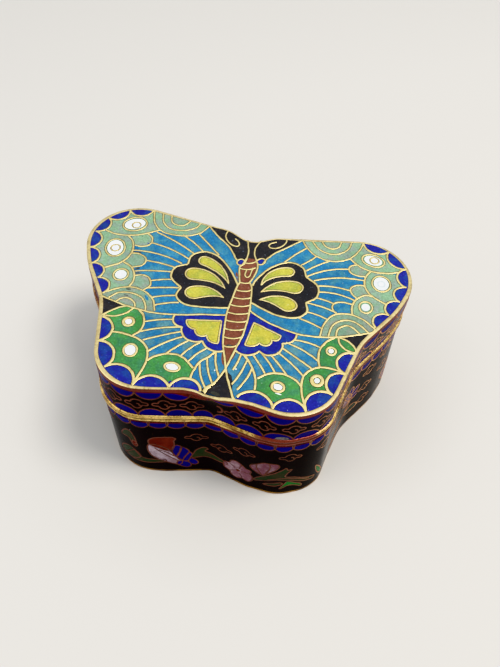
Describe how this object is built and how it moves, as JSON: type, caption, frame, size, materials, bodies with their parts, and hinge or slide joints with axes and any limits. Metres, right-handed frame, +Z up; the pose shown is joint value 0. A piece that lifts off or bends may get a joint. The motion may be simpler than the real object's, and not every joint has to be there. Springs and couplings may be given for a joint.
{
  "type": "butterfly-shaped cloisonne trinket box",
  "caption": "Small lidded trinket box with a butterfly outline, upright walls, gilt rims and a lid that lifts off an inner collar.",
  "frame": {"origin": "on the surface the box stands on, at the middle of its outline", "axes": "+Z up through the lid, +Y to the butterfly's head, +X to the right-hand wing seen from above"},
  "size_m": [0.0858, 0.0584, 0.039],
  "materials": {
    "gilt": "gilt brass, polished, with fine scratches",
    "base_enamel": "black cloisonne enamel with coloured cells and gilt wire, glossy; turquoise enamel inside and beneath",
    "lid_enamel": "blue, green, black, yellow and white cloisonne enamel with gilt wire, polished flush"
  },
  "bodies": {
    "root": {"foot_rim": "gilt", "base_shell": "base_enamel", "base_rim": "gilt", "base_collar": "gilt", "lid_rim": "gilt", "lid_shell": "lid_enamel", "lid_edge_band": "gilt"}
  },
  "joints": []
}
